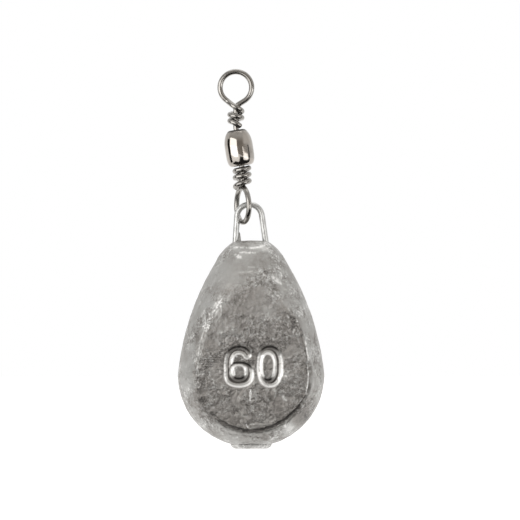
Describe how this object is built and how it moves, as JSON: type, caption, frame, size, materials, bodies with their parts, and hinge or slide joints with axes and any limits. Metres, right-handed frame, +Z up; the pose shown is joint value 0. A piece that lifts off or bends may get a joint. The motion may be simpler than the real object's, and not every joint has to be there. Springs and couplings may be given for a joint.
{
  "type": "fishing sinker",
  "caption": "Pear-shaped cast lead sinker with flat sides and engraved numerals, hung by its cast-in wire loop from a barrel swivel with wire-wrapped eyes.",
  "frame": {"origin": "centre of the upper eye's ring, where the line is tied", "axes": "+Z up the hanging sinker, numerals facing -Y, +X to the right of someone reading them"},
  "size_m": [0.0212, 0.0134, 0.0551],
  "materials": {
    "cast_lead": "as-cast lead, dull grey and mottled, brighter in the numerals",
    "tinned_wire": "bright tinned steel wire",
    "barrel_plating": "polished dark nickel plating",
    "eye_wire": "polished dark nickel plated wire"
  },
  "bodies": {
    "line_eye": {"line_eye": "eye_wire"},
    "barrel": {"swivel_barrel": "barrel_plating"},
    "link_eye": {"link_eye": "eye_wire"},
    "sinker": {"lead_body": "cast_lead", "wire_loop": "tinned_wire"}
  },
  "joints": [
    {"name": "barrel_spin", "type": "hinge", "parent": "line_eye", "child": "barrel", "pos_m": [0.00006, 0, -0.00614], "axis": [0.1495, 0, -0.9888], "continuous": true},
    {"name": "link_spin", "type": "hinge", "parent": "barrel", "child": "link_eye", "pos_m": [0.00006, 0, -0.00614], "axis": [0.1495, 0, -0.9888], "continuous": true},
    {"name": "sinker_swing", "type": "hinge", "parent": "link_eye", "child": "sinker", "pos_m": [0.00101, 0, -0.01725], "axis": [0.9202, 0.3907, 0.0225], "range_deg": [-120, 120]}
  ]
}
